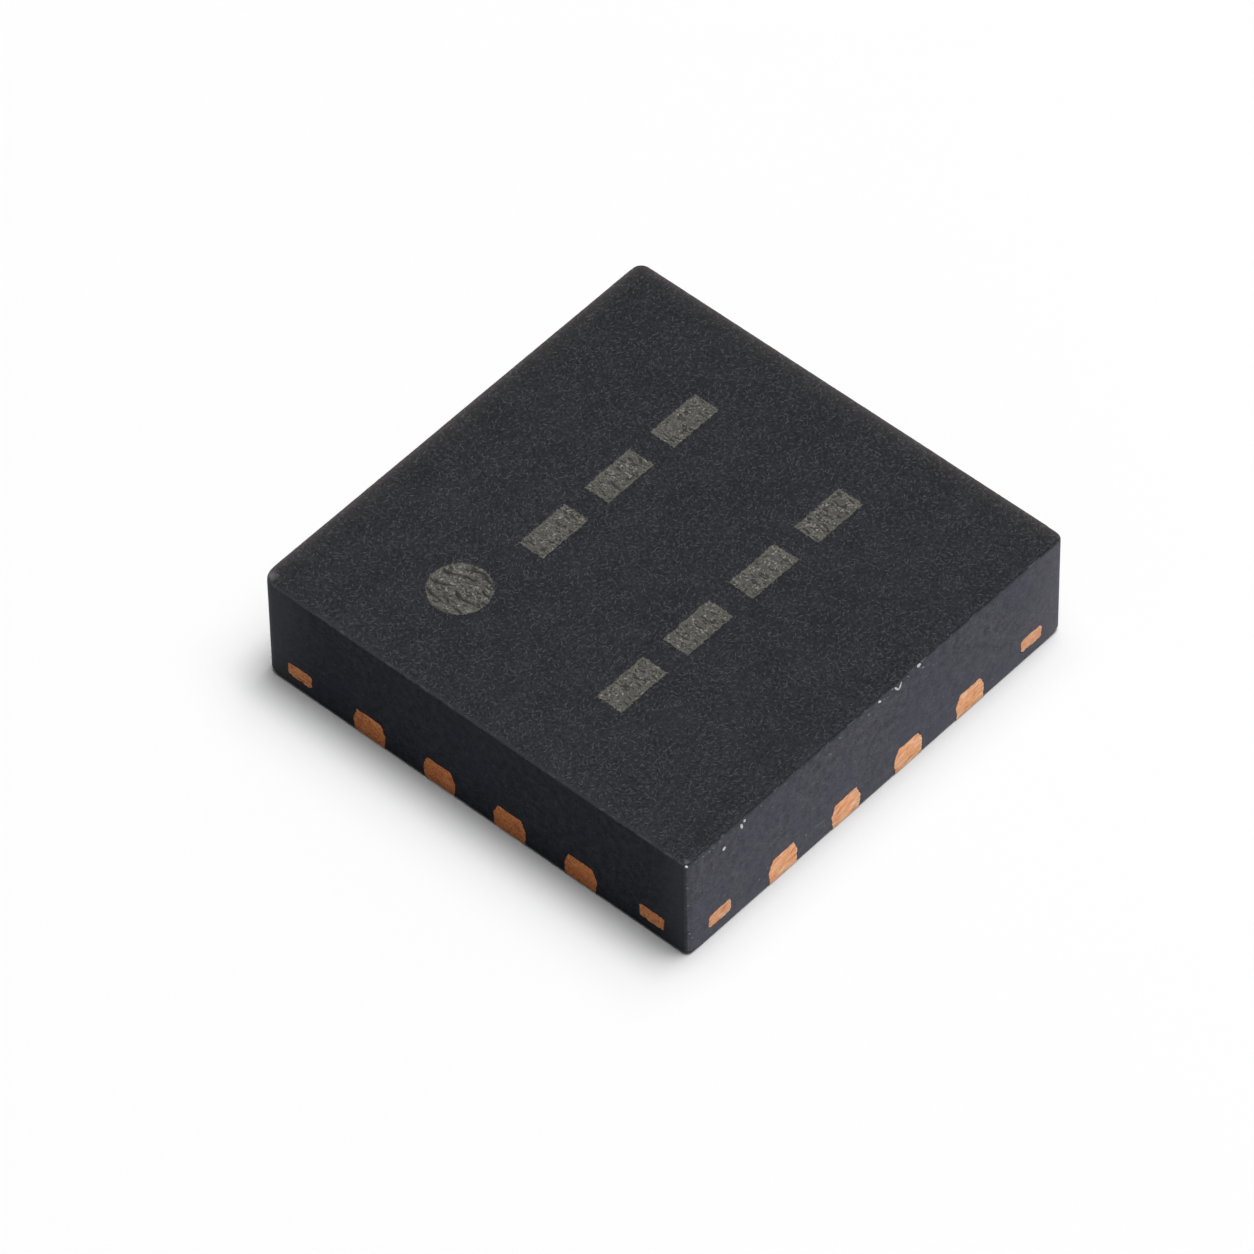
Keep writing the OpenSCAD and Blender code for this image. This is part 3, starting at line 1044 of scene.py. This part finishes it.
def laser_texture(tree, place, in_spot):
    """The melted skin inside the laser work: pale ridges and beads, and in the spot ropes with dark furrows."""
    drift = spread(tree, noise_value(tree, place, ROPE_DRIFT_SIZE), 0.2, 0.8, -ROPE_DRIFT, ROPE_DRIFT)
    across = fraction(tree, over(tree, plus(tree, axes(tree, place)["X"], drift), ROPE_PITCH))
    from_furrow = unsigned(tree, minus(tree, across, 0.5))
    broken = spread(tree, noise_value(tree, place, FURROW_BREAK, 1), 0.34, 0.50)
    furrow = times(tree, times(tree, spread(tree, from_furrow, 0.19, 0.05), broken), in_spot)
    crest = spread(tree, from_furrow, 0.10, 0.30)
    strands = noise_value(tree, drawn_out(tree, place, LASER_DRAW), STRAND, 2, 0.6)
    ridge = spread(tree, unsigned(tree, minus(tree, strands, 0.5)), 0.07, 0.01)
    beads = times(tree, spread(tree, noise_value(tree, place, BEAD, 1), 0.58, 0.80), crest)
    colour = mix_colour(tree, spread(tree, strands, 0.34, 0.66), MELT_DARK, MELT_LIGHT)
    colour = mix_colour(tree, times(tree, ridge, RIDGE_SHARE), colour, MELT_RIDGE)
    colour = mix_colour(tree, beads, colour, MELT_BEAD)
    colour = mix_colour(tree, times(tree, furrow, FURROW_SHARE), colour, MELT_FURROW)
    height = plus(tree, plus(tree, ridge, beads), times(tree, crest, CREST_HEIGHT))
    return colour, height


def mould_skin(tree, grain):
    """Colour of the compound's skin as it leaves the mould."""
    colour = mix_colour(tree, spread(tree, grain["Tone"], 0.33, 0.66), SKIN_DARK, SKIN_LIGHT)
    return mix_colour(tree, grain["Strokes"], colour, SKIN_STROKE)


def worn_and_lit_edges(tree, place):
    """1 at the upright edges and the corners of the block, broken up by noise."""
    xyz = axes(tree, place)
    to_edge = minus(tree, HALF, least(tree, unsigned(tree, xyz["X"]), unsigned(tree, xyz["Y"])))
    to_corner = plus(tree, to_edge, minus(tree, TOP, xyz["Z"]))
    patchy = spread(tree, noise_value(tree, place, UPRIGHT_PATCH, 2, 0.6), 0.35, 0.65, 0.25, 1.0)
    line = times(tree, spread(tree, to_edge, *UPRIGHT_WORN_LIT), patchy)
    reach = times(tree, spread(tree, xyz["Y"], -HALF, HALF, *CORNER_WORN_LIT),
                  spread(tree, xyz["X"], -HALF, HALF, *CORNER_SHARES))
    corner = spread(tree, over(tree, to_corner, reach), 1.0, 0.4)
    return most(tree, line, corner)


def moulded_epoxy():
    """Black moulding compound as it leaves the mould, with laser work on the top face."""
    mat, tree, shader, place = new_material("moulded epoxy")
    grain = use_group(tree, GRAIN, place)
    xyz = axes(tree, place)
    on_top = above(tree, xyz["Z"], TOP - TOP_BAND)
    # The upright edges and corners are paler, partly wear and partly a painted highlight
    colour = mix_colour(tree, times(tree, worn_and_lit_edges(tree, place), SKIN_WORN_LIT_SHARE), mould_skin(tree, grain), WORN_AND_LIT)
    # The rounding above the first cut at -X is painted a little paler: painted light that fills its shade
    to_first_cut = plus(tree, xyz["X"], HALF)
    colour = mix_colour(tree, spread(tree, to_first_cut, *FIRST_EDGE_LIGHT), colour, FIRST_EDGE_LIGHT_TONE)
    # Towards the far edges, at +X and +Y, a paler and browner sheen is painted onto the skin
    to_far = minus(tree, HALF, most(tree, xyz["X"], xyz["Y"]))
    for reach, sheen in FAR_SHEEN:
        share = power(tree, spread(tree, to_far, reach, 0.0), 2.0)
        colour = mix_colour(tree, times(tree, share, on_top), colour, sheen, "ADD")
    mask, inside, in_spot = laser_mask(tree, place)
    mask = times(tree, mask, on_top)
    melted, melted_height = laser_texture(tree, place, in_spot)
    melted = mix_colour(tree, spread(tree, inside, *LASER_RIM), melted, MELT_RIM)
    colour = mix_colour(tree, mask, colour, melted)
    height = plus(tree, grain["Height"], times(tree, mask, melted_height))
    set_shader(tree, shader, {
        "Base Color": colour, "Roughness": spread(tree, grain["Tone"], 0.3, 0.7, *SKIN_ROUGHNESS),
        "Specular IOR Level": SKIN_SPECULAR, "Normal": bump(tree, height, SKIN_BUMP)})
    return mat


def sawn_epoxy(name, dark, light, blue, paler, specular, axis, end_tone, reaches, shares, skin_depth, edge_light_tone):
    """The same compound where the blade has cut it: cloudy, with faint level lines, blue patches and a few nicks."""
    mat, tree, shader, place = new_material(name)
    grain = use_group(tree, GRAIN, place)
    saw = use_group(tree, SAW, place)
    xyz = axes(tree, place)
    z, along = xyz["Z"], xyz[axis]
    tone = plus(tree, times(tree, grain["Tone"], GRAIN_SHARE), times(tree, saw["Blotches"], BLOTCH_SHARE))
    colour = mix_colour(tree, spread(tree, tone, 0.36, 0.64), dark, light)
    patches = spread(tree, noise_value(tree, place, BLUE_PATCH, 1), 0.42, 0.68, 0.0, 0.4)
    colour = mix_colour(tree, patches, colour, blue)
    # Painted bounce light from the table pales it towards the underside
    pale = plus(tree, spread(tree, z, *PALE_LOW), spread(tree, z, *PALE_FOOT))
    colour = mix_colour(tree, times(tree, pale, paler), colour, brighter(light, PALE_TONE))
    # It is paler towards both ends of the side
    to_end = minus(tree, HALF, unsigned(tree, along))
    reach = spread(tree, along, -HALF, HALF, *reaches)
    toward_end = power(tree, spread(tree, over(tree, to_end, reach), 1.0, 0.0), 2.0)
    share = times(tree, toward_end, spread(tree, along, -HALF, HALF, *shares))
    colour = mix_colour(tree, share, colour, end_tone)
    colour = mix_colour(tree, times(tree, saw["Nicks"], NICK_SHARE), colour, brighter(light, NICK_TONE))
    # The upright edges and corners are paler, partly wear and partly a painted highlight
    colour = mix_colour(tree, times(tree, worn_and_lit_edges(tree, place), SAWN_WORN_LIT_SHARE), colour, WORN_AND_LIT)
    # Near the top, down to an uneven line, the mould skin is painted paler: painted light on the rounded edge's shade
    ragged = noise_value(tree, place, SKIN_LINE_SIZE, 3, 0.6)
    line = plus(tree, z, spread(tree, ragged, 0.25, 0.75, -SKIN_LINE, SKIN_LINE))
    skin = spread(tree, line, TOP - skin_depth - SKIN_FADE, TOP - skin_depth + SKIN_FADE)
    broken = spread(tree, noise_value(tree, place, SKIN_BREAK, 2, 0.6), 0.52, 0.66)
    band = mix_colour(tree, broken, edge_light_tone, EDGE_HIGHLIGHT)
    lit_edge_skin = mix_colour(tree, EDGE_LIGHT_SHARE, mould_skin(tree, grain), band)
    colour = mix_colour(tree, skin, colour, lit_edge_skin)
    height = plus(tree, times(tree, saw["Lines"], SAW_LINE_HEIGHT), grain["Tone"])
    set_shader(tree, shader, {
        "Base Color": colour, "Roughness": spread(tree, tone, 0.36, 0.64, *SAWN_ROUGHNESS),
        "Specular IOR Level": specular, "Normal": bump(tree, height, SAWN_BUMP)})
    return mat


def mark_copper(tree, colour, marks, seams, streaks, streak):
    """Darkens copper where the marks are low and pales it where they are high; seams and streaks each say where that
    starts, where it is full, and its share."""
    for (start, full, share), tone in ((seams, COPPER_SEAM), (streaks, streak)):
        colour = mix_colour(tree, times(tree, spread(tree, marks, start, full), share), colour, tone)
    return colour


def copper_skin(name, dark, light, streak, roughness):
    """Copper of the etched frame with the streaks of the saw, and tin on what is soldered."""
    mat, tree, shader, place = new_material(name)
    saw = use_group(tree, SAW, place)
    xyz = axes(tree, place)
    wide, deep = (unsigned(tree, xyz[axis]) for axis in ("X", "Y"))
    first_cut = above(tree, wide, deep)
    colour = mix_colour(tree, spread(tree, saw["Blotches"], 0.35, 0.7), dark, light)
    drag = noise_value(tree, drawn_out(tree, place, DRAG_DRAW), DRAG, 2, 0.6)
    colour = mark_copper(tree, colour, drag, DRAG_SEAMS, DRAG_STREAKS, streak)
    # The first cut is gritty, and the second has slanting scratches, more on some leads than on others
    grit = noise_value(tree, place, GRIT, 1)
    gritty = spread(tree, first_cut, 0, 1, *GRIT_SHARES)
    colour = mark_copper(tree, colour, grit, (*GRIT_SEAMS, gritty), (*GRIT_STREAKS, gritty), streak)
    run = plus(tree, xyz["X"], xyz["Y"])
    climb = minus(tree, xyz["Z"], times(tree, run, SCRATCH_SLANT))
    slanted = node(tree, "ShaderNodeCombineXYZ", {"X": times(tree, run, SCRATCH_DRAW), "Z": climb}).outputs[0]
    scratch = noise_value(tree, slanted, SCRATCH, 2, 0.6)
    scratched = spread(tree, noise_value(tree, place, SCRATCH_FIELD, 1), 0.38, 0.62, *SCRATCH_SHARES)
    seams, streaks = (*SCRATCH_SEAMS, scratched), (*SCRATCH_STREAKS, scratched)
    colour = mark_copper(tree, colour, scratch, seams, streaks, streak)
    # The first cut's ends are tinted darker and browner as painted shade; the second cut's tie bars a little darker
    on_tie = above(tree, least(tree, wide, deep), HALF - TIE_REACH)
    dull = mix_colour(tree, on_tie, SHADED_FIRST_CUT_COPPER, SHADED_FIRST_CUT_TIE)
    bright = mix_colour(tree, on_tie, WHITE, SECOND_CUT_TIE)
    colour = mix_colour(tree, 1.0, colour, mix_colour(tree, first_cut, bright, dull), "MULTIPLY")
    tin = mix_colour(tree, noise_value(tree, place, TIN_GRAIN), TIN_DARK, TIN_LIGHT)
    colour = mix_colour(tree, spread(tree, xyz["Z"], *TIN_LINE), colour, tin)
    # The copper throws next to none of its colour on the table
    thrown = tree.nodes.new("ShaderNodeLightPath").outputs["Is Diffuse Ray"]
    colour = mix_colour(tree, times(tree, thrown, COPPER_HELD_BACK), colour, SKIN_LIGHT)
    height = plus(tree, saw["Lines"], plus(tree, drag, scratch))
    set_shader(tree, shader, {
        "Base Color": colour, "Metallic": COPPER_METAL,
        "Roughness": spread(tree, saw["Lines"], 0.3, 0.7, roughness - COPPER_GLOSS, roughness + COPPER_GLOSS),
        "Normal": bump(tree, height, COPPER_BUMP)})
    return mat


def filler_crumb(name, dark, light):
    """Bare mineral filler: chalky with grey hollows."""
    mat, tree, shader, place = new_material(name)
    tone = noise_value(tree, place, CRUMB_GRAIN)
    set_shader(tree, shader, {
        "Base Color": mix_colour(tree, spread(tree, tone, 0.35, 0.6), dark, light),
        "Roughness": CRUMB_ROUGHNESS, "Normal": bump(tree, tone, CRUMB_BUMP)})
    return mat


def plain_metal(name, dark, light, size, roughness):
    """Metal that varies a little in tone and gloss over patches of the given size."""
    mat, tree, shader, place = new_material(name)
    tone = noise_value(tree, place, size, 3)
    set_shader(tree, shader, {
        "Base Color": mix_colour(tree, spread(tree, tone, 0.3, 0.7), dark, light), "Metallic": 1.0,
        "Roughness": spread(tree, tone, 0.3, 0.7, roughness - METAL_GLOSS, roughness + METAL_GLOSS)})
    return mat


def patterned_silicon():
    """The die: polished silicon with fields of wiring on its top face."""
    mat, tree, shader, place = new_material("patterned silicon")
    fields = node(tree, "ShaderNodeTexBrick", {"Vector": place, **FIELD_TONES, **FIELD_SIZES}).outputs["Color"]
    set_shader(tree, shader, {
        "Base Color": fields, "Metallic": FIELD_METAL,
        "Roughness": spread(tree, noise_value(tree, place, FIELD_CLOUD), 0.3, 0.7, *FIELD_ROUGHNESS)})
    return mat


def dress(obj, *materials):
    obj.data.materials.clear()
    for mat in materials:
        obj.data.materials.append(mat)


# Pieces, in their places

COPPER = [
    copper_skin("sawn copper", (0.92, 0.32, 0.125, 1), (1.0, 0.575, 0.27, 1), (1.0, 0.79, 0.53, 1), 0.48),
    # The lip's copper is painted dark as shade, and the rim's pale as a painted highlight
    copper_skin("shaded copper lip", (0.14, 0.035, 0.012, 1), (0.30, 0.09, 0.035, 1), (0.40, 0.15, 0.06, 1), 0.55),
    copper_skin("highlit copper rim", (0.80, 0.40, 0.21, 1), (1.0, 0.66, 0.44, 1), (1.0, 0.80, 0.62, 1), 0.46),
]
CRUMB = [
    filler_crumb("bright filler crumb", (0.55, 0.55, 0.56, 1), (0.93, 0.93, 0.92, 1)),
    filler_crumb("dull filler crumb", (0.10, 0.10, 0.11, 1), (0.28, 0.28, 0.29, 1)),
]
leads, pad, pockets = copper_pieces()
body = moulded_block(pockets)

# The sides of the first cut are painted dark with shade, those of the second pale with light
dress(body, moulded_epoxy(), sawn_epoxy("shaded first cut epoxy", **SHADED_FIRST_CUT), sawn_epoxy("lit second cut epoxy", **LIT_SECOND_CUT))
for f in body.data.polygons:
    if abs(f.normal.z) > 0.7:
        f.material_index = 0
    else:
        f.material_index = 1 if abs(f.normal.x) > abs(f.normal.y) else 2
smooth(body, BODY_CREASE)
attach(body, "root")
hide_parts("mould_body")

crumbs = edge_crumbs()
smooth(crumbs, CRUMB_CREASE)
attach(crumbs, "root")

for n, lead in enumerate(leads, 1):
    smooth(lead, COPPER_CREASE)
    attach(lead, "root")
    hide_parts(f"pin_{n:02d}")

smooth(pad, COPPER_CREASE)
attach(pad, "root")
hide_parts("die_pad")

# What the moulding hides keeps its CAD shape
adhesive = plain_metal("silver adhesive", (0.45, 0.45, 0.44, 1), (0.62, 0.62, 0.6, 1), 15 * UM, 0.6)
gold = plain_metal("gold wire", (0.78, 0.52, 0.17, 1), (0.92, 0.66, 0.27, 1), 20 * UM, 0.25)
dress(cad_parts["die_attach"], adhesive)
dress(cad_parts["die"], patterned_silicon())
for n in range(1, PINS + 1):
    dress(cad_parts[f"bond_wire_{n:02d}"], gold)


# Table, light and camera

def table():
    start_piece()
    bpy.ops.mesh.primitive_plane_add(size=TABLE_W, location=(0, 0, 0))
    top = bpy.context.object
    top.name = "table_top"
    mat, tree, shader, place = new_material("white table")
    colour = mix_colour(tree, noise_value(tree, place, TABLE_CLOUD), *TABLE_TONES)
    set_shader(tree, shader, {"Base Color": colour, "Roughness": 1.0, "Specular IOR Level": 0.0})
    dress(top, mat)


def softbox(name, size, share):
    """A square area light that looks at the part and gives the table that share of white; its azimuth is from +X."""
    a, e = LAMP_AZIMUTH, LAMP_ELEVATION
    away = Vector((math.cos(a) * math.cos(e), math.sin(a) * math.cos(e), math.sin(e)))
    data = bpy.data.lights.new(name, "AREA")
    data.shape = "SQUARE"
    data.size = size
    data.energy = share * (math.pi * LAMP_DISTANCE) ** 2 / math.sin(e)
    lamp = bpy.data.objects.new(name, data)
    lamp.location = away * LAMP_DISTANCE
    lamp.rotation_euler = away.to_track_quat("Z", "Y").to_euler()
    bpy.context.collection.objects.link(lamp)


def surroundings(strength):
    world = bpy.data.worlds.new("studio")
    world.use_nodes = True
    set_shader(world.node_tree, world.node_tree.nodes["Background"], {"Color": WHITE, "Strength": strength})
    bpy.context.scene.world = world


def photo_camera():
    data = bpy.data.cameras.new("photo_camera")
    data.lens = LENS
    data.sensor_width = SENSOR_W
    data.clip_start, data.clip_end = CLIP
    camera = bpy.data.objects.new("photo_camera", data)
    back = Vector((math.sin(VIEW_AZIMUTH) * math.cos(VIEW_ELEVATION),
                   -math.cos(VIEW_AZIMUTH) * math.cos(VIEW_ELEVATION), math.sin(VIEW_ELEVATION)))
    facing = back.to_track_quat("Z", "Y").to_matrix().to_4x4()
    place = Matrix.Translation(VIEW_TARGET + back * VIEW_DISTANCE)
    camera.matrix_world = place @ facing @ Matrix.Rotation(VIEW_ROLL, 4, "Z")
    bpy.context.collection.objects.link(camera)
    bpy.context.scene.camera = camera


table()
surroundings(ROOM_LIGHT)
for lamp in LAMPS:
    softbox(*lamp)
photo_camera()
bpy.context.scene.view_settings.view_transform = "Standard"
